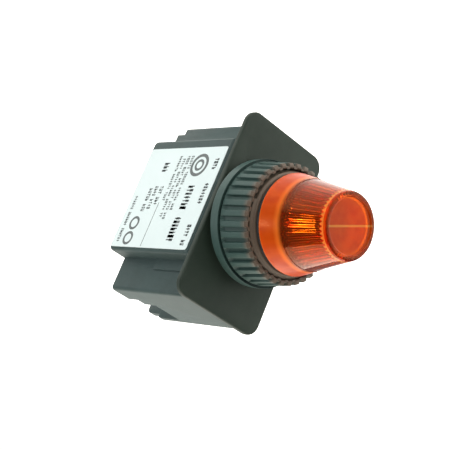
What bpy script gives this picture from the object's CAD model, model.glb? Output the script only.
"""Panel pilot light: finishes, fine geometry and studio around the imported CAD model.

The lens points to -Y, +Z runs along the flange plate's long side and +X is the label side. Lengths
are in metres, except in turned outlines, in the label's print and in names that end in _mm or _MM,
which are in millimetres. The MM factor turns millimetres into metres.
"""
import logging
import math
from dataclasses import dataclass, field
from enum import Enum

import bmesh
import bpy
from mathutils import Matrix, Vector


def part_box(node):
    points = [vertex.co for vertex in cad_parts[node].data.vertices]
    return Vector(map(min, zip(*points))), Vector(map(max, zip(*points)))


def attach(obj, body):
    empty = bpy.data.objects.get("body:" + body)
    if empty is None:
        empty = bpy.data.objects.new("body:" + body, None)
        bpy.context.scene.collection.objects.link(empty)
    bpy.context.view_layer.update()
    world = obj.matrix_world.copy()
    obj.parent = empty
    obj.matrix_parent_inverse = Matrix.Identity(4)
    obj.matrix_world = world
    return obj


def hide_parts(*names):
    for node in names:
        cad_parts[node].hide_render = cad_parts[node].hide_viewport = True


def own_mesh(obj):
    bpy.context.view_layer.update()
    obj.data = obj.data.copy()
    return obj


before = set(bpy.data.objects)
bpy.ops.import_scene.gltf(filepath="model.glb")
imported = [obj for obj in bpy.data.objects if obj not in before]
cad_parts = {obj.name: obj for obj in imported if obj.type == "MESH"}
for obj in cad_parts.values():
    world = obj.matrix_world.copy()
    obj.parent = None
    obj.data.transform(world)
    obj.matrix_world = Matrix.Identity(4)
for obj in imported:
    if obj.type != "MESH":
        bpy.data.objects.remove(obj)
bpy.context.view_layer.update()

MM = 0.001
NECK_MM = 6.5  # length of the lens's neck, behind its flange
BAND_MM = 6.8  # height of the solid band at the lens's foot
INK_THICKNESS = 0.016 * MM
log = logging.getLogger("pilot_light")

Point = tuple[float, float]
Colour = tuple[float, float, float]


# ------------------------------------------------------------------------------- node graphs
class Term:
    """A number socket that Python's operators turn into Math nodes."""

    def __init__(self, graph: "Graph", socket: bpy.types.NodeSocket) -> None:
        """Wraps one output socket of a graph."""
        self.graph = graph
        self.socket = socket

    def _math(self, operation: str, *values: "Term | float") -> "Term":
        """Adds one Math node.

        Args:
            operation: the Math node's operation.
            values: up to three terms or numbers.
        Returns:
            The node's value as a term.
        """
        made = self.graph.node("ShaderNodeMath", {"operation": operation}, dict(enumerate(values)))
        return Term(self.graph, made.outputs[0])

    def __add__(self, other: "Term | float") -> "Term":
        """Sum."""
        return self._math("ADD", self, other)

    def __sub__(self, other: "Term | float") -> "Term":
        """Difference."""
        return self._math("SUBTRACT", self, other)

    def __rsub__(self, other: float) -> "Term":
        """Difference with the number first."""
        return self._math("SUBTRACT", other, self)

    def __mul__(self, other: "Term | float") -> "Term":
        """Product."""
        return self._math("MULTIPLY", self, other)

    def __truediv__(self, other: "Term | float") -> "Term":
        """Quotient."""
        return self._math("DIVIDE", self, other)

    def __neg__(self) -> "Term":
        """The term with its sign turned."""
        return self._math("MULTIPLY", self, -1.0)

    __radd__ = __add__
    __rmul__ = __mul__

    def sine(self) -> "Term":
        """Sine of the term, in radians."""
        return self._math("SINE", self)

    def power(self, exponent: float) -> "Term":
        """The term raised to a power."""
        return self._math("POWER", self, exponent)

    def fraction(self) -> "Term":
        """The part behind the decimal point."""
        return self._math("FRACT", self)

    def above(self, limit: "Term | float") -> "Term":
        """1 where the term is over the limit, else 0."""
        return self._math("GREATER_THAN", self, limit)

    def below(self, limit: "Term | float") -> "Term":
        """1 where the term is under the limit, else 0."""
        return self._math("LESS_THAN", self, limit)

    def clamp(self) -> "Term":
        """The term kept between 0 and 1."""
        return Term(self.graph, self.graph.node("ShaderNodeClamp", values={0: self}).outputs[0])

    def atan2(self, other: "Term") -> "Term":
        """Angle of the point (other, self)."""
        return self._math("ARCTAN2", self, other)

    def root(self) -> "Term":
        """Square root."""
        return self._math("SQRT", self)

    def step(self, low: "Term | float", high: "Term | float") -> "Term":
        """Smooth step.

        Args:
            low: value at which the result leaves 0.
            high: value at which the result reaches 1.
        Returns:
            The clamped, smooth result from 0 to 1.
        """
        settings = {"interpolation_type": "SMOOTHSTEP"}
        made = self.graph.node("ShaderNodeMapRange", settings, {0: self, 1: low, 2: high})
        return Term(self.graph, made.outputs[0])

    def span(self, low: float, high: float) -> "Term":
        """Linear remap of 0..1 to low..high."""
        return self * (high - low) + low


class Graph:
    """Adds nodes to a shader or geometry tree through one method."""

    def __init__(self, tree: bpy.types.NodeTree) -> None:
        """Starts on an empty tree."""
        self.tree = tree

    def node(self, kind: str, settings: dict | None = None, values: dict | None = None) -> bpy.types.Node:
        """Adds one node.

        Args:
            kind: the node's type name.
            settings: attributes to set first; "stops" fills a colour ramp.
            values: numbers, colours, terms or sockets by input name or index.
        Returns:
            The new node.
        """
        made = self.tree.nodes.new(kind)
        for key, value in (settings or {}).items():
            if key == "stops":
                ramp = made.color_ramp
                while len(ramp.elements) < len(value):
                    ramp.elements.new(0.5)
                for element, (place, colour) in zip(ramp.elements, value):
                    element.position = place
                    element.color = (*colour, 1.0)
            else:
                setattr(made, key, value)
        for key, value in (values or {}).items():
            socket = value.socket if isinstance(value, Term) else value
            if isinstance(socket, bpy.types.NodeSocket):
                self.tree.links.new(socket, made.inputs[key])
            else:
                made.inputs[key].default_value = socket
        return made

    def term(self, node: bpy.types.Node, output: str | int = 0) -> Term:
        """An output of a node as a term."""
        return Term(self, node.outputs[output])

    def axes(self, vector: bpy.types.NodeSocket) -> tuple[Term, Term, Term]:
        """Splits a vector into its X, Y and Z terms."""
        made = self.node("ShaderNodeSeparateXYZ", values={0: vector})
        return Term(self, made.outputs[0]), Term(self, made.outputs[1]), Term(self, made.outputs[2])

    def vector(self, x: "Term | float", y: "Term | float", z: "Term | float") -> bpy.types.NodeSocket:
        """Joins three terms or numbers into a vector socket."""
        return self.node("ShaderNodeCombineXYZ", values={0: x, 1: y, 2: z}).outputs[0]


class ShaderGraph(Graph):
    """A material's graph, with the few shader helpers that the finishes share."""

    def __init__(self, name: str) -> None:
        """Makes the material and clears its tree."""
        self.material = bpy.data.materials.new(name)
        self.material.use_nodes = True
        super().__init__(self.material.node_tree)
        self.tree.nodes.clear()
        self.place = self.node("ShaderNodeTexCoord").outputs["Object"]

    def noise(self, scale: float, detail: float = 3.0, vector: bpy.types.NodeSocket | None = None) -> Term:
        """Fractal noise from 0 to 1.

        Args:
            scale: features per metre.
            detail: number of octaves.
            vector: coordinates, or the piece's own if left out.
        Returns:
            The noise value.
        """
        values = {"Vector": vector or self.place, "Scale": scale, "Detail": detail}
        return self.term(self.node("ShaderNodeTexNoise", values=values))

    def blend(self, factor: Term, first: object, second: object) -> bpy.types.NodeSocket:
        """Mixes two colours.

        Args:
            factor: 0 gives the first colour and 1 the second.
            first: a colour or a colour socket.
            second: a colour or a colour socket.
        Returns:
            The mixed colour socket.
        """
        first, second = (((*c, 1.0) if isinstance(c, tuple) else c) for c in (first, second))
        made = self.node("ShaderNodeMix", {"data_type": "RGBA"}, {0: factor, 6: first, 7: second})
        return made.outputs[2]

    def bump(self, height: Term, distance: float, strength: float = 1.0) -> bpy.types.NodeSocket:
        """A bumped normal.

        Args:
            height: the height field, in units of distance.
            distance: height of one unit, in metres.
            strength: share of the effect.
        Returns:
            The normal socket.
        """
        values = {"Strength": strength, "Distance": distance, "Height": height}
        return self.node("ShaderNodeBump", values=values).outputs[0]

    def finish(self, values: dict) -> bpy.types.Material:
        """Adds the Principled shader and the output.

        Args:
            values: Principled inputs by name.
        Returns:
            The finished material.
        """
        shader = self.node("ShaderNodeBsdfPrincipled", values=values)
        self.node("ShaderNodeOutputMaterial", values={0: shader.outputs[0]})
        return self.material


# ------------------------------------------------------------------------------- finishes
@dataclass(frozen=True)
class Spill:
    """Painted warm tone, as if the amber lens threw it on the plastic round it."""

    colour: Colour = (0.105, 0.078, 0.056)
    inner: float = 16.4 * MM
    outer: float = 17.4 * MM
    front: float = -15.6 * MM
    rear: float = -13.2 * MM

    def factor(self, graph: "ShaderGraph") -> "Term":
        """Strength of the tone over the surface."""
        x, y, z = graph.axes(graph.place)
        near = 1.0 - (x * x + z * z).root().step(self.inner, self.outer)
        return near * (1.0 - y.step(self.front, self.rear))


@dataclass(frozen=True)
class MouldedPlastic:
    """Matt moulded plastic with a fine spark-eroded grain and faint flow marks."""

    name: str
    colour: Colour
    worn: Colour
    roughness: float = 0.55
    grain: float = 5200.0
    depth: float = 0.012 * MM
    specular: float = 0.35
    spill: Spill | None = None

    def material(self) -> bpy.types.Material:
        """Builds the material."""
        graph = ShaderGraph(self.name)
        cloud = graph.noise(55.0, 4.0)
        flow = graph.noise(260.0, 3.0)
        grain = graph.noise(self.grain, 2.0)
        speck = graph.noise(1900.0, 1.0).step(0.66, 0.78)
        tone = (cloud * 0.5 + flow * 0.3 + grain * 0.2).step(0.3, 0.72)
        colour = graph.blend(tone, self.colour, self.worn)
        colour = graph.blend(speck * 0.25, colour, self.worn)
        if self.spill:
            colour = graph.blend(self.spill.factor(graph), colour, self.spill.colour)
        rough = (cloud * 0.6 + grain * 0.4).span(self.roughness - 0.10, self.roughness + 0.14)
        normal = graph.bump(grain + flow * 0.6, self.depth)
        return graph.finish({
            "Base Color": colour, "Roughness": rough, "Normal": normal,
            "Specular IOR Level": self.specular,
        })


@dataclass(frozen=True)
class Rubber:
    """Black sealing rubber with a powdery bloom."""

    name: str
    colour: Colour = (0.012, 0.012, 0.012)

    def material(self) -> bpy.types.Material:
        """Builds the material."""
        graph = ShaderGraph(self.name)
        bloom = graph.noise(420.0, 4.0).step(0.45, 0.8)
        grain = graph.noise(7000.0, 2.0)
        colour = graph.blend(bloom, self.colour, (0.035, 0.034, 0.032))
        return graph.finish({
            "Base Color": colour, "Roughness": bloom.span(0.62, 0.85),
            "Normal": graph.bump(grain, 0.01 * MM), "Specular IOR Level": 0.3,
        })


@dataclass(frozen=True)
class ClearAmber:
    """Amber lens plastic: clear in the cone, solid in the flange band, with painted zones between.

    The three places along Y are the solid band's front edge, the flange's rear face and the tip.
    """

    name: str
    band_y: float
    rear_y: float
    tip_y: float
    colour: Colour = (0.78, 0.120, 0.002)
    deep: Colour = (0.54, 0.045, 0.001)
    dark: Colour = (0.52, 0.012, 0.001)
    solid: Colour = (0.70, 0.078, 0.002)
    solid_deep: Colour = (0.56, 0.042, 0.001)
    bright: Colour = (0.95, 0.22, 0.020)
    pale: Colour = (1.0, 0.46, 0.07)
    tint: Colour = (1.0, 0.34, 0.10)
    flutes: int = 48
    bead: float = 1.3 * MM
    weld_angle: float = math.radians(27.7)

    def material(self) -> bpy.types.Material:
        """Builds the material."""
        graph = ShaderGraph(self.name)
        x, y, z = graph.axes(graph.place)
        radius = (x * x + z * z).root()
        flute = (x.atan2(z) * float(self.flutes)).sine()
        saw = (flute + 1.0) * (0.35 * MM)
        streak = graph.noise(1.0, 3.0, graph.vector(x * 420.0, y * 60.0, z * 420.0))
        cloud = graph.noise(150.0, 2.0)
        tone = (streak * 0.6 + cloud * 0.4).step(0.35, 0.7)
        normal = graph.bump(streak, 0.02 * MM, 0.5)
        # dark zone and beads at the cone's root
        root = (y + saw).step(self.band_y - 3.4 * MM, self.band_y - 2.6 * MM)
        beads = (flute * (y * (math.tau / self.bead)).sine()).step(0.25, 0.7)
        # bright rear and front edges of the solid band
        edge = y.step(self.rear_y - 0.55 * MM, self.rear_y - 0.15 * MM) * 0.9
        front = (1.0 - y.step(self.band_y + 1.2 * MM, self.band_y + 2.6 * MM)) * 0.55
        # pale arc round the tip, and the fine weld line across it
        arc = radius.step(7.4 * MM, 8.2 * MM) * y.step(self.tip_y + 0.6 * MM, self.tip_y + 0.9 * MM)
        arc = arc * (1.0 - (y + saw).step(self.tip_y + 1.6 * MM, self.tip_y + 2.2 * MM))
        weld = z * math.cos(self.weld_angle) - x * math.sin(self.weld_angle)
        face = 1.0 - y.step(self.tip_y + 0.5 * MM, self.tip_y + 0.6 * MM)
        line = (1.0 - (weld * weld).root().step(0.14 * MM, 0.42 * MM)) * face
        gloss = {
            "Normal": normal, "IOR": 1.49, "Specular IOR Level": 0.12, "Specular Tint": (*self.tint, 1.0),
        }
        body = graph.blend(root * 0.85, graph.blend(tone, self.colour, self.deep), self.dark)
        body = graph.blend(root * beads * 0.8, body, self.bright)
        clear = graph.node("ShaderNodeBsdfPrincipled", values={
            "Base Color": graph.blend(arc, body, self.pale),
            "Roughness": cloud.span(0.01, 0.05), "Transmission Weight": 0.96, **gloss,
        })
        solid = graph.blend(tone, self.solid, self.solid_deep)
        solid = graph.blend(edge + front * radius.step(11.0 * MM, 11.5 * MM), solid, self.bright)
        milky = graph.node("ShaderNodeBsdfPrincipled", values={
            "Base Color": graph.blend(arc + line * 0.8, solid, self.pale),
            "Roughness": cloud.span(0.30, 0.42), "Transmission Weight": 0.35, **gloss,
        })
        # share of the milky plastic: all over a little, more in the crown, most in the band
        band = y.step(self.band_y - 0.25 * MM, self.band_y + 0.25 * MM)
        band = band * radius.step(12.3 * MM, 12.7 * MM)
        crown = 1.0 - y.step(self.tip_y + 1.9 * MM, self.tip_y + 2.6 * MM)
        crown = crown * (1.0 - radius.step(7.6 * MM, 8.4 * MM))
        share = band * 0.88 + crown * 0.50 + arc * 0.35 + 0.06
        mixed = graph.node("ShaderNodeMixShader", values={0: share, 1: clear.outputs[0], 2: milky.outputs[0]})
        graph.node("ShaderNodeOutputMaterial", values={0: mixed.outputs[0]})
        return graph.material


@dataclass(frozen=True)
class LampGlass:
    """Thin lamp glass, blackened inside by long use."""

    name: str
    colour: Colour = (0.16, 0.13, 0.11)

    def material(self) -> bpy.types.Material:
        """Builds the material."""
        graph = ShaderGraph(self.name)
        dust = graph.noise(900.0, 4.0).step(0.5, 0.85)
        colour = graph.blend(dust * 0.4, self.colour, (0.30, 0.26, 0.22))
        return graph.finish({
            "Base Color": colour, "Roughness": dust.span(0.04, 0.16),
            "Transmission Weight": 0.6, "IOR": 1.5,
        })


class MetalLook(Enum):
    """How a metal's surface was made."""

    TURNED = "turned"
    PRESSED = "pressed"
    DRAWN = "drawn"


@dataclass(frozen=True)
class Metal:
    """Bare or plated metal with tool marks and light tarnish."""

    name: str
    colour: Colour
    tarnish: Colour
    look: MetalLook = MetalLook.PRESSED
    roughness: float = 0.28

    def material(self) -> bpy.types.Material:
        """Builds the material."""
        graph = ShaderGraph(self.name)
        x, y, z = graph.axes(graph.place)
        stain = graph.noise(330.0, 5.0).step(0.42, 0.78)
        if self.look is MetalLook.TURNED:
            marks = graph.noise(1.0, 2.0, graph.vector(x * 300.0, y * 14000.0, z * 300.0))
        elif self.look is MetalLook.DRAWN:
            marks = graph.noise(1.0, 2.0, graph.vector(x * 9000.0, y * 500.0, z * 9000.0))
        else:
            marks = graph.noise(2600.0, 3.0)
        return graph.finish({
            "Base Color": graph.blend(stain * 0.75, self.colour, self.tarnish), "Metallic": 1.0,
            "Roughness": (stain * 0.5 + marks * 0.5).span(self.roughness - 0.08, self.roughness + 0.2),
            "Normal": graph.bump(marks, 0.006 * MM, 0.7),
        })


@dataclass(frozen=True)
class PrintedFilm:
    """White polyester label film with a faint orange-peel surface."""

    name: str
    colour: Colour = (0.53, 0.62, 0.62)

    def material(self) -> bpy.types.Material:
        """Builds the material."""
        graph = ShaderGraph(self.name)
        tint = graph.noise(90.0, 3.0)
        peel = graph.noise(2400.0, 2.0)
        return graph.finish({
            "Base Color": graph.blend(tint, self.colour, (0.57, 0.66, 0.66)),
            "Roughness": peel.span(0.34, 0.5), "Normal": graph.bump(peel, 0.004 * MM),
        })


@dataclass(frozen=True)
class Ink:
    """Slightly uneven dark grey printing ink."""

    name: str
    colour: Colour = (0.05, 0.065, 0.065)

    def material(self) -> bpy.types.Material:
        """Builds the material."""
        graph = ShaderGraph(self.name)
        fade = graph.noise(3000.0, 3.0).step(0.4, 0.8)
        return graph.finish({
            "Base Color": graph.blend(fade * 0.5, self.colour, (0.16, 0.19, 0.19)),
            "Roughness": fade.span(0.45, 0.6),
        })


@dataclass(frozen=True)
class WoundWire:
    """Enamelled wire wound in close turns along Y under a varnish coat."""

    name: str
    colour: Colour = (0.55, 0.20, 0.07)
    pitch: float = 0.28 * MM

    def material(self) -> bpy.types.Material:
        """Builds the material."""
        graph = ShaderGraph(self.name)
        _, y, _ = graph.axes(graph.place)
        drift = graph.noise(300.0, 2.0) * (self.pitch * 0.6)
        turn = ((y + drift) * (math.tau / self.pitch)).sine() * 0.5 + 0.5
        colour = graph.blend(turn, (0.16, 0.05, 0.02), self.colour)
        return graph.finish({
            "Base Color": colour, "Metallic": 0.7, "Roughness": turn.span(0.42, 0.24),
            "Normal": graph.bump(turn, 0.07 * MM), "Coat Weight": 0.5,
        })


@dataclass(frozen=True)
class Laminations:
    """Stacked electrical-steel sheets with varnished, dark cut edges."""

    name: str
    sheet: float = 0.5 * MM

    def material(self) -> bpy.types.Material:
        """Builds the material."""
        graph = ShaderGraph(self.name)
        x, _, _ = graph.axes(graph.place)
        gap = ((x * (math.tau / self.sheet)).sine() * 0.5 + 0.5).power(6.0)
        rust = graph.noise(500.0, 5.0).step(0.55, 0.8)
        steel = graph.blend(rust * 0.5, (0.16, 0.165, 0.18), (0.20, 0.10, 0.05))
        return graph.finish({
            "Base Color": graph.blend(gap, steel, (0.02, 0.02, 0.02)), "Metallic": 0.8,
            "Roughness": rust.span(0.4, 0.7), "Normal": graph.bump(1.0 - gap, 0.05 * MM),
        })


@dataclass(frozen=True)
class FloorPaint:
    """Plain pale floor with the faintest unevenness."""

    name: str = "studio_floor"
    glow: float = 0.80

    def material(self) -> bpy.types.Material:
        """Builds the material."""
        graph = ShaderGraph(self.name)
        cloud = graph.noise(3.0, 2.0)
        return graph.finish({
            "Base Color": graph.blend(cloud, (0.90, 0.90, 0.90), (0.92, 0.92, 0.92)),
            "Roughness": 0.9, "Specular IOR Level": 0.1, "Emission Color": (1.0, 1.0, 1.0, 1.0),
            "Emission Strength": self.glow,
        })


# ------------------------------------------------------------------------------- mesh tools
@dataclass(frozen=True)
class Corner:
    """One corner of a turned outline, in millimetres: radius, place along the axis and rounding."""

    r: float
    y: float
    fillet: float = 0.0


def rounded(corners: list[Corner], steps: int = 5, closed: bool = False) -> list[Point]:
    """Rounds the corners of an outline.

    Args:
        corners: the outline's corners in order, in millimetres.
        steps: points on each rounding arc.
        closed: whether the outline's ends meet.
    Returns:
        The outline's points, in metres.
    """
    points: list[Point] = []
    for i, corner in enumerate(corners):
        here = Vector((corner.r, corner.y))
        if corner.fillet <= 0 or (not closed and i in (0, len(corners) - 1)):
            points.append((here.x * MM, here.y * MM))
            continue
        before = Vector((corners[i - 1].r, corners[i - 1].y)) - here
        after_corner = corners[(i + 1) % len(corners)]
        after = Vector((after_corner.r, after_corner.y)) - here
        reach = min(corner.fillet, before.length * 0.49, after.length * 0.49)
        start, end = here + before.normalized() * reach, here + after.normalized() * reach
        for k in range(steps + 1):
            t = k / steps
            spot = start * (1 - t) ** 2 + here * (2 * t * (1 - t)) + end * t * t
            points.append((spot.x * MM, spot.y * MM))
    return points


def as_piece(name: str, mesh: bpy.types.Mesh, material: bpy.types.Material,
             sharp: float = 32.0) -> bpy.types.Object:
    """Makes an object of a mesh, smooth except at sharp edges.

    Args:
        name: the piece's name.
        mesh: its mesh, already in place.
        material: its material.
        sharp: angle in degrees above which an edge stays sharp.
    Returns:
        The new object, linked to the scene.
    """
    mesh.materials.clear()
    mesh.materials.append(material)
    mesh.shade_smooth()
    mesh.set_sharp_from_angle(angle=math.radians(sharp))
    piece = bpy.data.objects.new(name, mesh)
    bpy.context.scene.collection.objects.link(piece)
    return piece


def turned_mesh(name: str, outline: list[Point], segments: int = 128, closed: bool = True) -> bpy.types.Mesh:
    """Turns an outline about the Y axis into a closed shell.

    Args:
        name: the mesh's name.
        outline: (radius, y) points in metres.
        segments: steps round the axis.
        closed: whether the outline's last point joins its first.
    Returns:
        The mesh, with outward normals.
    """
    shape = bmesh.new()
    rows = []
    for step in range(segments):
        angle = math.tau * step / segments
        rows.append([shape.verts.new((r * math.cos(angle), y, r * math.sin(angle))) for r, y in outline])
    last = len(outline) if closed else len(outline) - 1
    for step, row in enumerate(rows):
        beside = rows[(step + 1) % segments]
        for i in range(last):
            k = (i + 1) % len(outline)
            shape.faces.new((row[i], row[k], beside[k], beside[i]))
    bmesh.ops.remove_doubles(shape, verts=shape.verts, dist=1e-7)
    bmesh.ops.dissolve_degenerate(shape, edges=shape.edges, dist=1e-8)
    bmesh.ops.recalc_face_normals(shape, faces=shape.faces)
    mesh = bpy.data.meshes.new(name)
    shape.to_mesh(mesh)
    shape.free()
    return mesh


def baked(piece: bpy.types.Object, sharp: float = 32.0) -> bpy.types.Object:
    """Applies a piece's modifiers.

    Args:
        piece: an object whose modifiers are all still live.
        sharp: angle in degrees above which an edge stays sharp.
    Returns:
        The same object with a plain mesh and no modifiers.
    """
    bpy.context.view_layer.update()
    solid = piece.evaluated_get(bpy.context.evaluated_depsgraph_get())
    mesh = bpy.data.meshes.new_from_object(solid)
    piece.modifiers.clear()
    old, piece.data = piece.data, mesh
    bpy.data.meshes.remove(old)
    mesh.shade_smooth()
    mesh.set_sharp_from_angle(angle=math.radians(sharp))
    return piece


def refined(node: str, material: bpy.types.Material, edge: float = 0.0,
            sharp: float = 28.0) -> bpy.types.Object:
    """A copy of a CAD node with merged points, smooth curves and softened edges, in the node's place.

    Args:
        node: the CAD node it stands for.
        material: its material.
        edge: width of the softened edges in metres, or 0 to leave them.
        sharp: angle in degrees above which an edge is softened or stays sharp.
    Returns:
        The new piece.
    """
    shape = bmesh.new()
    shape.from_mesh(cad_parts[node].data)
    bmesh.ops.remove_doubles(shape, verts=shape.verts, dist=2e-7)
    bmesh.ops.dissolve_limit(shape, angle_limit=math.radians(0.4), verts=shape.verts, edges=shape.edges)
    mesh = bpy.data.meshes.new(f"{node}_look")
    shape.to_mesh(mesh)
    shape.free()
    piece = as_piece(f"{node}_look", mesh, material, sharp)
    if edge > 0:
        soft = piece.modifiers.new("soft_edges", "BEVEL")
        soft.width = edge
        soft.segments = 2
        soft.limit_method = "ANGLE"
        soft.angle_limit = math.radians(sharp)
        soft.use_clamp_overlap = True
        soft.miter_outer = "MITER_ARC"
        baked(piece, sharp)
    return piece


def dress(node: str, material: bpy.types.Material) -> None:
    """Gives a CAD node its material."""
    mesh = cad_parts[node].data
    mesh.materials.clear()
    mesh.materials.append(material)


def stand_in(piece: bpy.types.Object, body: str, slot: str, *nodes: str) -> bpy.types.Object:
    """Rides a piece on its body, in place of CAD nodes.

    Args:
        piece: the finished piece.
        body: the CAD body that it moves with.
        slot: the record's material slot.
        nodes: the CAD nodes that it stands for.
    Returns:
        The same piece.
    """
    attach(piece, body)
    if nodes:
        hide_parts(*nodes)
    log.info("%s: %d faces on %s", piece.name, len(piece.data.polygons), body)
    return piece


# ------------------------------------------------------------------------------- geometry nodes
class GeometryTree(Graph):
    """A Geometry Nodes tree with named size inputs."""

    def __init__(self, name: str, sizes: dict[str, float]) -> None:
        """Makes the tree with a geometry input, its size inputs and a material input.

        Args:
            name: the tree's name.
            sizes: default values of the named inputs; whole numbers make integer inputs.
        """
        tree = bpy.data.node_groups.new(name, "GeometryNodeTree")
        super().__init__(tree)
        face = tree.interface
        face.new_socket("Geometry", in_out="INPUT", socket_type="NodeSocketGeometry")
        self.sockets = {}
        for key, value in sizes.items():
            kind = "NodeSocketInt" if isinstance(value, int) else "NodeSocketFloat"
            socket = face.new_socket(key, in_out="INPUT", socket_type=kind)
            socket.default_value = value
            self.sockets[key] = socket
        coat = face.new_socket("Material", in_out="INPUT", socket_type="NodeSocketMaterial")
        self.sockets["Material"] = coat
        face.new_socket("Geometry", in_out="OUTPUT", socket_type="NodeSocketGeometry")
        self.given = self.node("NodeGroupInput")

    def size(self, key: str) -> Term:
        """A named input as a term."""
        return Term(self, self.given.outputs[key])

    def close(self, geometry: bpy.types.NodeSocket) -> None:
        """Ends the tree: realises instances, sets the material and links the output."""
        real = self.node("GeometryNodeRealizeInstances", values={0: geometry})
        values = {"Geometry": real.outputs[0], "Material": self.given.outputs["Material"]}
        dressed = self.node("GeometryNodeSetMaterial", values=values)
        self.node("NodeGroupOutput", values={0: dressed.outputs[0]})

    def piece(self, name: str, sizes: dict[str, float], material: bpy.types.Material,
              base: bpy.types.Mesh | None = None, sharp: float = 32.0) -> bpy.types.Object:
        """Evaluates the tree into a plain piece.

        Args:
            name: the piece's name.
            sizes: values of the named inputs.
            material: the piece's material.
            base: the mesh that the tree starts from, if it needs one.
            sharp: angle in degrees above which an edge stays sharp.
        Returns:
            The piece, with its modifier applied and removed.
        """
        holder = as_piece(name, base or bpy.data.meshes.new(name), material, sharp)
        modifier = holder.modifiers.new(self.tree.name, "NODES")
        modifier.node_group = self.tree
        for key, value in sizes.items():
            modifier[self.sockets[key].identifier] = value
        modifier[self.sockets["Material"].identifier] = material
        return baked(holder, sharp)


def fluting_tree() -> GeometryTree:
    """A tree that presses flutes along Y into the part of a turned shell between two radii."""
    tree = GeometryTree("axial_flutes", {
        "Count": 36, "Depth": 0.5 * MM, "Share": 0.5, "Start": -1.0, "End": 1.0,
        "Fade": 0.5 * MM, "Above": 0.0, "Below": 1.0,
    })
    x, y, z = tree.axes(tree.node("GeometryNodeInputPosition").outputs[0])
    radius = (x * x + z * z).root()
    wave = (z.atan2(x) * tree.size("Count")).sine() * 0.5 + 0.5
    low = 1.0 - tree.size("Share")
    from_start = (y - tree.size("Start")) / tree.size("Fade")
    to_end = (tree.size("End") - y) / tree.size("Fade")
    within = radius.above(tree.size("Above")) * radius.below(tree.size("Below"))
    groove = wave.step(low, low + 0.3) * from_start.clamp() * to_end.clamp() * within
    press = -(groove * tree.size("Depth"))
    moved = tree.node("GeometryNodeSetPosition", values={
        "Geometry": tree.given.outputs["Geometry"],
        "Offset": tree.vector(x / radius * press, 0.0, z / radius * press),
    })
    tree.close(moved.outputs[0])
    return tree


def helix_tree() -> GeometryTree:
    """A tree that winds a round or ridged bar into a helix along Y."""
    tree = GeometryTree("helix_bar", {
        "Turns": 5.0, "Radius": 1.0, "Length": 1.0, "Bar": 0.1, "Sides": 8, "Front": 0.0, "Steps": 48,
    })
    spiral = tree.node("GeometryNodeCurveSpiral", values={
        "Resolution": tree.given.outputs["Steps"], "Rotations": tree.size("Turns"),
        "Start Radius": tree.size("Radius"), "End Radius": tree.size("Radius"), "Height": tree.size("Length"),
    })
    ring = tree.node("GeometryNodeCurvePrimitiveCircle", values={
        "Resolution": tree.given.outputs["Sides"], "Radius": tree.size("Bar"),
    })
    bar = tree.node("GeometryNodeCurveToMesh", values={
        "Curve": spiral.outputs[0], "Profile Curve": ring.outputs[0], "Fill Caps": True,
    })
    moved = tree.node("GeometryNodeTransform", values={
        "Geometry": bar.outputs[0], "Translation": tree.vector(0.0, tree.size("Front"), 0.0),
        "Rotation": (math.radians(-90.0), 0.0, 0.0),
    })
    tree.close(moved.outputs[0])
    return tree


def marks_tree() -> GeometryTree:
    """A tree that prints a row of made-up characters along Z, each one unit square in the YZ plane."""
    tree = GeometryTree("print_marks", {
        "Count": 12, "Pitch": 0.8 * MM, "Height": 1.0 * MM, "Width": 0.5 * MM, "Thickness": 0.01 * MM,
        "X": 0.0, "Y": 0.0, "Z": 0.0, "Seed": 1, "Gap Every": 6.0, "Stroke": 0.24,
    })
    stroke, reach = tree.size("Stroke"), 0.5 - tree.size("Stroke") * 0.5

    def bar(y: Term | float, z: Term | float, tall: Term | float,
            wide: Term | float) -> bpy.types.NodeSocket:
        """One straight stroke, given by its middle and its size."""
        block = tree.node("GeometryNodeMeshCube", values={"Size": tree.vector(1.0, tall, wide)})
        moved = tree.node("GeometryNodeTransform", values={
            "Geometry": block.outputs[0], "Translation": tree.vector(0.0, y, z)})
        return moved.outputs[0]

    def character(*strokes: bpy.types.NodeSocket) -> bpy.types.NodeSocket:
        """Joins strokes into one instance."""
        joined = tree.node("GeometryNodeJoinGeometry")
        for socket in strokes:
            tree.tree.links.new(socket, joined.inputs[0])
        return tree.node("GeometryNodeGeometryToInstance", values={0: joined.outputs[0]}).outputs[0]

    left, right = bar(0.0, -reach, 1.0, stroke), bar(0.0, reach, 1.0, stroke)
    top, base = bar(-reach, 0.0, stroke, 1.0), bar(reach, 0.0, stroke, 1.0)
    middle, centre = bar(0.0, 0.0, stroke, 1.0), bar(0.0, 0.0, 1.0, stroke)
    short = bar(0.2, reach, 0.6, stroke)
    glyphs = tree.node("GeometryNodeJoinGeometry")
    for glyph in (
        character(left, top, base, right), character(left, middle, base), character(centre, middle),
        character(left, short, middle, base), character(top, centre), character(left, right, base),
    ):
        tree.tree.links.new(glyph, glyphs.inputs[0])

    row = tree.node("GeometryNodeMeshLine", values={
        "Count": tree.given.outputs["Count"],
        "Start Location": tree.vector(tree.size("X"), tree.size("Y"), tree.size("Z")),
        "Offset": tree.vector(0.0, 0.0, tree.size("Pitch")),
    })
    index = tree.term(tree.node("GeometryNodeInputIndex"))
    seed = tree.given.outputs["Seed"]
    wide = tree.node("FunctionNodeRandomValue", {"data_type": "FLOAT"}, {"Seed": seed, 2: 0.7, 3: 1.0})
    pick = tree.node("FunctionNodeRandomValue", {"data_type": "INT"}, {"Seed": seed, 4: 0, 5: 5})
    keep = (index / tree.size("Gap Every")).fraction().above(0.12)
    scale = tree.vector(tree.size("Thickness"), tree.size("Height"), tree.term(wide, 1) * tree.size("Width"))
    placed = tree.node("GeometryNodeInstanceOnPoints", values={
        "Points": row.outputs[0], "Selection": keep, "Instance": glyphs.outputs[0],
        "Pick Instance": True, "Instance Index": pick.outputs[2], "Scale": scale,
    })
    tree.close(placed.outputs[0])
    return tree


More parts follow.
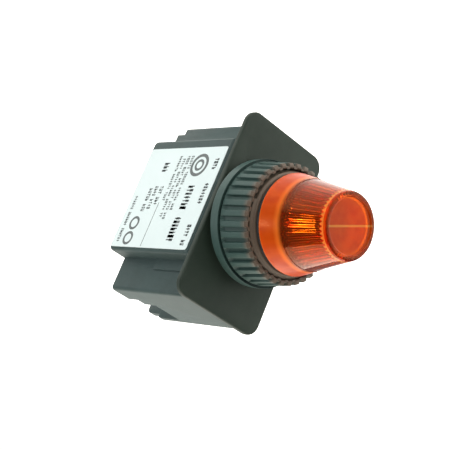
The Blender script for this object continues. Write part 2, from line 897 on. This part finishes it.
# ------------------------------------------------------------------------------- sub-assemblies
def extent(node: str) -> tuple[Vector, Vector]:
    """The lowest and highest corner of a CAD node as vectors, in metres."""
    low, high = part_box(node)
    return Vector(low), Vector(high)


def made(finish: type, *values: object, **options: object) -> bpy.types.Material:
    """A palette entry: the material is built when the palette is.

    Args:
        finish: the finish's class.
        values: the finish's values in order, its name first.
        options: the finish's values by name.
    Returns:
        The dataclass field that builds the material.
    """
    return field(default_factory=lambda: finish(*values, **options).material())


def lens_plastic() -> bpy.types.Material:
    """The lens's material, with its zones placed from the lens's own box."""
    low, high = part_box("lens")
    rear_y = high[1] - NECK_MM * MM
    return ClearAmber("amber_plastic", band_y=rear_y - BAND_MM * MM, rear_y=rear_y, tip_y=low[1]).material()


@dataclass
class Palette:
    """Every material of the object, made once."""

    plate: bpy.types.Material = made(
        MouldedPlastic, "plate_plastic", (0.009, 0.019, 0.012), (0.017, 0.029, 0.020),
        specular=0.28, spill=Spill())
    ring: bpy.types.Material = made(
        MouldedPlastic, "ring_plastic", (0.017, 0.045, 0.039), (0.030, 0.066, 0.058), spill=Spill())
    shell: bpy.types.Material = made(
        MouldedPlastic, "housing_plastic", (0.016, 0.036, 0.034), (0.029, 0.056, 0.054))
    rubber: bpy.types.Material = made(Rubber, "seal_rubber")
    amber: bpy.types.Material = field(default_factory=lens_plastic)
    glass: bpy.types.Material = made(LampGlass, "lamp_glass")
    brass: bpy.types.Material = made(
        Metal, "turned_brass", (0.78, 0.56, 0.24), (0.42, 0.27, 0.10), MetalLook.TURNED)
    nickel: bpy.types.Material = made(
        Metal, "nickelled_brass", (0.72, 0.66, 0.54), (0.45, 0.38, 0.26), MetalLook.TURNED, 0.22)
    zinc: bpy.types.Material = made(
        Metal, "zinc_steel", (0.66, 0.66, 0.62), (0.42, 0.41, 0.36), MetalLook.PRESSED)
    spring: bpy.types.Material = made(
        Metal, "spring_wire", (0.50, 0.51, 0.52), (0.30, 0.30, 0.30), MetalLook.DRAWN, 0.3)
    tungsten: bpy.types.Material = made(
        Metal, "filament_wire", (0.34, 0.33, 0.32), (0.20, 0.19, 0.18), MetalLook.DRAWN, 0.4)
    phenolic: bpy.types.Material = made(
        MouldedPlastic, "brown_phenolic", (0.055, 0.022, 0.012), (0.085, 0.038, 0.020), 0.35)
    nylon: bpy.types.Material = made(
        MouldedPlastic, "natural_nylon", (0.66, 0.62, 0.50), (0.74, 0.71, 0.60), 0.42)
    wire: bpy.types.Material = made(
        MouldedPlastic, "red_insulation", (0.45, 0.03, 0.02), (0.55, 0.06, 0.04), 0.38)
    coil: bpy.types.Material = made(WoundWire, "enamelled_wire")
    steel: bpy.types.Material = made(Laminations, "core_sheets")
    film: bpy.types.Material = made(PrintedFilm, "label_film")
    ink: bpy.types.Material = made(Ink, "label_ink")


@dataclass
class LensAssembly:
    """The amber lens with its fluted inner wall, and the seal behind its flange."""

    palette: Palette
    flutes: GeometryTree
    cone_flutes: int = 48
    flute_depth: float = 0.45 * MM
    taper_mm: float = 4.95
    wall_mm: float = 1.9
    crown_mm: float = 2.2
    shoulder_mm: float = 6.6
    tip_recess_mm: float = 0.35
    wall_rows: int = 14
    seal_bore_mm: float = 12.4

    def build(self) -> None:
        """Builds both pieces."""
        self.build_lens()
        self.build_seal()

    def build_lens(self) -> None:
        """Turns the lens, and presses the flutes into its inner wall."""
        low, high = extent("lens")
        tip, rear = low.y / MM, high.y / MM - NECK_MM
        flange, neck = high.x / MM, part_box("socket_insulator")[1][0] / MM - 0.1
        top, bore = flange - self.taper_mm, neck - self.wall_mm
        height = rear - tip
        ceiling = height - self.crown_mm
        wall_top, wall_foot = ceiling - 0.6, self.shoulder_mm + 0.2

        def cone(h: float, inset: float = 0.0) -> float:
            """Radius of the cone at height h in front of the flange."""
            return flange + (top - flange) * h / height - inset

        heights = [wall_foot + (wall_top - wall_foot) * i / self.wall_rows for i in range(self.wall_rows + 1)]
        outline = rounded([
            Corner(0, tip + self.tip_recess_mm), Corner(top - 1.6, tip + self.tip_recess_mm, 0.15),
            Corner(top - 1.35, tip, 0.1), Corner(top, tip, 0.9),
            Corner(cone(BAND_MM, 0.15), rear - BAND_MM, 0.1), Corner(cone(BAND_MM), rear - BAND_MM, 0.12),
            Corner(flange, rear, 0.5), Corner(neck, rear, 0.2), Corner(neck, rear + NECK_MM, 0.3),
            Corner(bore, rear + NECK_MM, 0.3), Corner(bore, rear, 0.3),
            Corner(cone(self.shoulder_mm, self.wall_mm), rear - self.shoulder_mm, 0.3),
            *[Corner(cone(h, self.wall_mm), rear - h) for h in heights],
            Corner(cone(ceiling, self.wall_mm) - 0.5, rear - ceiling, 0.4), Corner(0, rear - ceiling),
        ])
        mesh = turned_mesh("lens_look", outline, segments=480, closed=False)
        lens = self.flutes.piece("lens_look", {
            "Count": self.cone_flutes, "Depth": -self.flute_depth, "Share": 0.62,
            "Start": (rear - ceiling + 0.3) * MM, "End": (rear - 7.0) * MM, "Fade": 0.5 * MM,
            "Above": 3.0 * MM, "Below": (cone(self.shoulder_mm, self.wall_mm) + 0.05) * MM,
        }, self.palette.amber, mesh)
        stand_in(lens, "lens", "amber_lens", "lens")

    def build_seal(self) -> None:
        """Turns the seal."""
        low, high = extent("lens_seal")
        front, rear, outer, bore = low.y / MM, high.y / MM, high.x / MM, self.seal_bore_mm
        outline = rounded([
            Corner(bore, front, 0.15), Corner(outer, front, 0.5),
            Corner(outer, rear, 0.5), Corner(bore, rear, 0.15)], closed=True)
        seal = as_piece("lens_seal_look", turned_mesh("lens_seal_look", outline, 96), self.palette.rubber)
        stand_in(seal, "seal", "rubber", "lens_seal")


@dataclass
class RingAssembly:
    """The knurled ring nut, the smooth trim washer and its gasket."""

    palette: Palette
    flutes: GeometryTree
    ribs: int = 36
    flute_depth: float = 0.9 * MM
    taper_mm: float = 0.5
    groove_mm: float = 0.5
    ring_bore_mm: float = 15.1
    washer_bore_mm: float = 15.2
    washer_wall_mm: float = 0.7
    side_rows: int = 16

    def build(self) -> None:
        """Builds the three pieces."""
        self.build_ring()
        self.build_washer()
        self.build_gasket()

    def build_ring(self) -> None:
        """Turns the ring nut, and presses the flutes between its ribs."""
        low, high = extent("mounting_ring")
        front, rear, big = low.y / MM, high.y / MM, high.x / MM
        small, bore, rows = big - self.taper_mm, self.ring_bore_mm, self.side_rows
        length = rear - front - 0.7
        side = [Corner(small + (big - small) * i / rows, front + 0.35 + length * i / rows)
                for i in range(rows + 1)]
        outline = rounded([
            Corner(bore, front + 0.3, 0.2), Corner(bore + 0.35, front, 0.15),
            Corner(small - 0.75, front, 0.25), *side, Corner(big, rear - 0.1, 0.1),
            Corner(big - 0.5, rear, 0.1), Corner(bore, rear, 0.2)], 4, True)
        mesh = turned_mesh("mounting_ring_look", outline, segments=self.ribs * 14)
        ring = self.flutes.piece("mounting_ring_look", {
            "Count": self.ribs, "Depth": self.flute_depth, "Share": 0.55,
            "Start": (front - 0.3) * MM, "End": (rear - 0.6) * MM, "Fade": 0.4 * MM,
            "Above": (small - 1.0) * MM, "Below": 1.0,
        }, self.palette.ring, mesh, sharp=50.0)
        stand_in(ring, "ring", "black_plastic", "mounting_ring")

    def build_washer(self) -> None:
        """Turns the trim washer, with a groove round the ring nut's foot."""
        low, high = extent("trim_washer")
        front, rear, rim, bore = low.y / MM, high.y / MM, high.x / MM, self.washer_bore_mm
        foot, seat = extent("mounting_ring")[1].x / MM, extent("gasket")[0].y / MM
        skirt = rim - self.washer_wall_mm
        outline = rounded([
            Corner(bore, front + self.groove_mm, 0.1), Corner(foot + 0.5, front + self.groove_mm, 0.1),
            Corner(foot + 0.6, front, 0.15), Corner(rim, front, 0.6), Corner(rim, rear, 0.35),
            Corner(skirt, rear, 0.1), Corner(skirt, seat, 0.1), Corner(bore, seat, 0.1)], 5, True)
        mesh = turned_mesh("trim_washer_look", outline, 160)
        washer = as_piece(mesh.name, mesh, self.palette.ring)
        stand_in(washer, "washer", "black_plastic", "trim_washer")

    def build_gasket(self) -> None:
        """Turns the gasket, a hair clear of the washer that holds it."""
        low, high = extent("gasket")
        front, rear, bore = low.y / MM + 0.01, high.y / MM, self.washer_bore_mm
        rim = extent("trim_washer")[1].x / MM - self.washer_wall_mm - 0.02
        outline = rounded([
            Corner(bore, front, 0.1), Corner(rim, front, 0.1),
            Corner(rim, rear, 0.2), Corner(bore, rear, 0.2)], 4, True)
        gasket = as_piece("gasket_look", turned_mesh("gasket_look", outline, 120), self.palette.rubber)
        stand_in(gasket, "washer", "rubber", "gasket")


@dataclass
class Mounting:
    """The flange plate with its bushing, and the thread on the bushing's barrel."""

    palette: Palette
    helix: GeometryTree
    pitch: float = 1.5 * MM
    root: float = 14.3 * MM
    crest: float = 14.93 * MM
    shoulder_y: float = -2.4 * MM

    def build(self) -> None:
        """Builds the plate and the thread."""
        plate = refined("panel_base", self.palette.plate, edge=0.12 * MM)
        stand_in(plate, "base", "black_plastic", "panel_base")
        rim = extent("panel_base")[0].y
        length = self.shoulder_y - rim - 1.4 * MM
        thread = self.helix.piece("bushing_thread", {
            "Turns": length / self.pitch, "Radius": self.root, "Length": length,
            "Bar": self.crest - self.root, "Sides": 4, "Front": rim + 0.8 * MM, "Steps": 96,
        }, self.palette.plate)
        stand_in(thread, "base", "black_plastic")


@dataclass(frozen=True)
class PrintRow:
    """One row of print marks: place on the label, number, size and weight, in millimetres."""

    y: float
    z: float
    count: int
    pitch: float
    height: float
    gap_every: float
    stroke: float


@dataclass(frozen=True)
class PrintRing:
    """One printed ring: middle, outer radius and width of its line, in millimetres."""

    y: float
    z: float
    radius: float
    line: float

    def mesh(self, name: str, face: float) -> bpy.types.Mesh:
        """The ring's mesh on the label.

        Args:
            name: the mesh's name.
            face: X of the label's face, in metres.
        Returns:
            The mesh.
        """
        half, outer, inner = INK_THICKNESS / 2, self.radius * MM, (self.radius - self.line) * MM
        mesh = turned_mesh(name, [(outer, -half), (outer, half), (inner, half), (inner, -half)], 48)
        place = Matrix.Translation((face, self.y * MM, self.z * MM))
        mesh.transform(place @ Matrix.Rotation(math.radians(90), 4, "Z"))
        return mesh


@dataclass(frozen=True)
class PrintRule:
    """One straight printed rule along Z: lower end, length and width, in millimetres."""

    y: float
    z: float
    length: float
    line: float

    def mesh(self, name: str, face: float) -> bpy.types.Mesh:
        """The rule's mesh on the label.

        Args:
            name: the mesh's name.
            face: X of the label's face, in metres.
        Returns:
            The mesh.
        """
        y0, y1 = self.y * MM, (self.y + self.line) * MM
        z0, z1 = self.z * MM, (self.z + self.length) * MM
        square = ((y0, z0), (y1, z0), (y1, z1), (y0, z1))
        corners = [(x, y, z) for x in (face, face + INK_THICKNESS) for y, z in square]
        sides = [(i, (i + 1) % 4, (i + 1) % 4 + 4, i + 4) for i in range(4)]
        mesh = bpy.data.meshes.new(name)
        mesh.from_pydata(corners, [], [(0, 3, 2, 1), (4, 5, 6, 7), *sides])
        return mesh


@dataclass
class Housing:
    """The moulded rear housing with its label, screws and internal parts."""

    palette: Palette
    marks: GeometryTree
    rows: tuple[PrintRow, ...] = (
        PrintRow(7.0, -14.2, 6, 0.95, 1.7, 9.0, 0.42), PrintRow(7.0, -6.2, 9, 0.95, 1.7, 9.0, 0.42),
        PrintRow(7.0, 7.8, 8, 0.95, 1.7, 5.0, 0.42),
        PrintRow(13.4, -5.8, 19, 1.12, 2.8, 9.0, 0.52),
        PrintRow(18.4, -14.2, 25, 0.74, 1.1, 7.0, 0.34), PrintRow(20.2, -14.2, 29, 0.74, 1.1, 5.0, 0.34),
        PrintRow(22.0, -13.4, 27, 0.74, 1.1, 6.0, 0.34), PrintRow(23.8, -14.2, 21, 0.74, 1.1, 8.0, 0.34),
        PrintRow(27.0, -4.4, 8, 0.9, 1.5, 4.0, 0.34), PrintRow(29.2, -13.4, 5, 1.1, 2.4, 9.0, 0.40),
        PrintRow(29.4, -4.4, 11, 0.86, 1.5, 5.0, 0.34), PrintRow(31.8, -3.6, 10, 0.86, 1.5, 6.0, 0.34),
        PrintRow(37.2, -1.0, 21, 0.76, 1.3, 7.0, 0.36),
    )
    rings: tuple[PrintRing, ...] = (
        PrintRing(14.0, -10.6, 3.7, 1.0), PrintRing(14.0, -10.6, 1.9, 0.8),
        PrintRing(32.9, 8.3, 2.2, 0.8), PrintRing(32.9, 13.2, 2.2, 0.8),
    )
    rule: PrintRule = PrintRule(25.2, 1.5, 14.2, 0.22)

    def build(self) -> None:
        """Builds the shell, the label with its print, and dresses what is inside."""
        shell = refined("housing", self.palette.shell, edge=0.14 * MM)
        stand_in(shell, "base", "housing_plastic", "housing")
        label = refined("rating_label", self.palette.film, edge=0.03 * MM)
        stand_in(label, "base", "label_film", "rating_label")
        self.build_print(extent("rating_label")[1].x)
        for node, material in {
            "core": self.palette.steel, "bobbin": self.palette.nylon, "primary_coil": self.palette.coil,
            "secondary_coil": self.palette.coil, "lead_wires": self.palette.wire,
        }.items():
            dress(node, material)

    def build_print(self, face: float) -> None:
        """Lays the print on the label.

        Args:
            face: X of the label's face, in metres.
        """
        for i, row in enumerate(self.rows):
            line = self.marks.piece(f"print_row_{i:02d}", {
                "Count": row.count, "Pitch": row.pitch * MM, "Height": row.height * MM,
                "Width": row.pitch * 0.8 * MM, "Thickness": INK_THICKNESS,
                "X": face, "Y": row.y * MM, "Z": row.z * MM,
                "Seed": i + 3, "Gap Every": row.gap_every, "Stroke": row.stroke,
            }, self.palette.ink)
            stand_in(line, "base", "label_film")
        shapes = [ring.mesh(f"print_ring_{i}", face) for i, ring in enumerate(self.rings)]
        for mesh in [*shapes, self.rule.mesh("print_rule", face)]:
            stand_in(as_piece(mesh.name, mesh, self.palette.ink), "base", "label_film")


@dataclass
class Lamp:
    """The bayonet lamp, its socket and the sprung centre contact."""

    palette: Palette
    helix: GeometryTree
    spring_turns: float = 5.0
    spring_radius: float = 2.3 * MM
    spring_wire: float = 0.25 * MM

    def build(self) -> None:
        """Refines the lamp and its socket, and winds the spring."""
        for node, body, slot, material, edge in (
            ("lamp_base", "lamp", "lamp_brass", self.palette.nickel, 0.06 * MM),
            ("socket_shell", "base", "brass", self.palette.brass, 0.05 * MM),
            ("socket_insulator", "base", "phenolic", self.palette.phenolic, 0.1 * MM),
            ("contact_button", "contact", "brass", self.palette.brass, 0.05 * MM),
            ("lamp_glass", "lamp", "lamp_glass", self.palette.glass, 0.0),
        ):
            stand_in(refined(node, material, edge), body, slot, node)
        dress("socket_lugs", self.palette.brass)
        dress("lamp_filament", self.palette.tungsten)
        self.build_spring()

    def build_spring(self) -> None:
        """Winds the contact's spring, which shortens as the contact is pushed."""
        low, high = extent("contact_spring")
        wire, length = self.spring_wire, high.y - low.y
        spring = self.helix.piece("contact_spring_look", {
            "Turns": self.spring_turns, "Radius": self.spring_radius, "Length": length - 2 * wire,
            "Bar": wire, "Sides": 8, "Front": low.y + wire, "Steps": 40,
        }, self.palette.spring)
        stand_in(spring, "base", "spring_steel", "contact_spring")
        1 - 1.5 * MM / length
        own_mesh(spring)


@dataclass
class Terminals:
    """Screws, saddle clamps and plates at both ends, and the module screws."""

    palette: Palette

    def build(self) -> None:
        """Refines every terminal piece."""
        for end in "ab":
            for part, material, edge, body, slot in (
                ("plate", self.palette.brass, 0.08 * MM, "base", "brass"),
                ("clamp", self.palette.zinc, 0.08 * MM, f"clamp_{end}", "plated_steel"),
                ("screw", self.palette.zinc, 0.06 * MM, f"screw_{end}", "plated_steel"),
            ):
                node = f"terminal_{part}_{end}"
                stand_in(refined(node, material, edge), body, slot, node)
        screws = refined("module_screws", self.palette.zinc, 0.06 * MM)
        stand_in(screws, "base", "plated_steel", "module_screws")


@dataclass(frozen=True)
class SoftLight:
    """One square area light: place and side in metres, power in watts."""

    name: str
    place: tuple[float, float, float]
    side: float
    power: float
    colour: Colour = (1.0, 1.0, 1.0)


@dataclass
class Studio:
    """Floor, lights, world and camera."""

    target: Vector = field(default_factory=lambda: Vector((5.19, 5.02, 3.31)) * MM)
    azimuth: float = 37.13
    elevation: float = 16.72
    roll: float = 157.53
    distance: float = 353.0 * MM
    focal: float = 101.02
    floor_z: float = -0.13
    floor_half: float = 30.0
    sky: float = 0.30
    lights: tuple[SoftLight, ...] = (
        SoftLight("key", (-0.30, 0.05, 0.62), 1.00, 11.0, (1.0, 0.95, 0.85)),
        SoftLight("side", (0.72, 0.39, 0.36), 0.18, 2.9),
        SoftLight("back", (-0.20, 0.65, 0.45), 0.70, 2.5, (1.0, 0.97, 0.92)),
    )

    def build(self) -> None:
        """Builds the whole studio."""
        scene = bpy.context.scene
        scene.view_settings.view_transform = "Standard"
        world = bpy.data.worlds.new("studio_world")
        world.use_nodes = True
        background = world.node_tree.nodes["Background"]
        background.inputs["Color"].default_value = (1.0, 1.0, 1.0, 1.0)
        background.inputs["Strength"].default_value = self.sky
        scene.world = world
        self.floor()
        for light in self.lights:
            self.light(light)
        self.camera()

    def floor(self) -> None:
        """A large pale floor below the object."""
        mesh = bpy.data.meshes.new("floor")
        corners = [(x * self.floor_half, y * self.floor_half, self.floor_z)
                   for x, y in ((-1, -1), (1, -1), (1, 1), (-1, 1))]
        mesh.from_pydata(corners, [], [(0, 1, 2, 3)])
        floor = as_piece("floor", mesh, FloorPaint().material())

    def light(self, light: SoftLight) -> None:
        """Adds one square area light, aimed at the object.

        Args:
            light: its name, place, side, power and colour.
        """
        data = bpy.data.lights.new(light.name, "AREA")
        data.color = light.colour
        data.size = light.side
        data.energy = light.power
        lamp = bpy.data.objects.new(light.name, data)
        lamp.location = light.place
        lamp.rotation_euler = (self.target - Vector(light.place)).to_track_quat("-Z", "Y").to_euler()
        bpy.context.scene.collection.objects.link(lamp)

    def camera(self) -> None:
        """Adds the camera at its azimuth, elevation and roll round the target."""
        azimuth, elevation = math.radians(self.azimuth), math.radians(self.elevation)
        back = Vector((
            math.cos(elevation) * math.sin(azimuth), -math.cos(elevation) * math.cos(azimuth),
            math.sin(elevation)))
        turn = back.to_track_quat("Z", "Y").to_matrix() @ Matrix.Rotation(math.radians(-self.roll), 3, "Z")
        data = bpy.data.cameras.new("camera")
        data.lens = self.focal
        data.sensor_width = 36.0
        data.clip_start = 0.01
        view = bpy.data.objects.new("camera", data)
        view.matrix_world = Matrix.Translation(self.target + back * self.distance) @ turn.to_4x4()
        bpy.context.scene.collection.objects.link(view)
        bpy.context.scene.camera = view


def main() -> None:
    """Builds the studio and every sub-assembly in order."""
    logging.basicConfig(level=logging.INFO, format="%(name)s %(message)s")
    Studio().build()
    palette = Palette()
    flutes, helix = fluting_tree(), helix_tree()
    LensAssembly(palette, flutes).build()
    RingAssembly(palette, flutes).build()
    Mounting(palette, helix).build()
    Housing(palette, marks_tree()).build()
    Lamp(palette, helix).build()
    Terminals(palette).build()


if __name__ == "__main__":
    main()
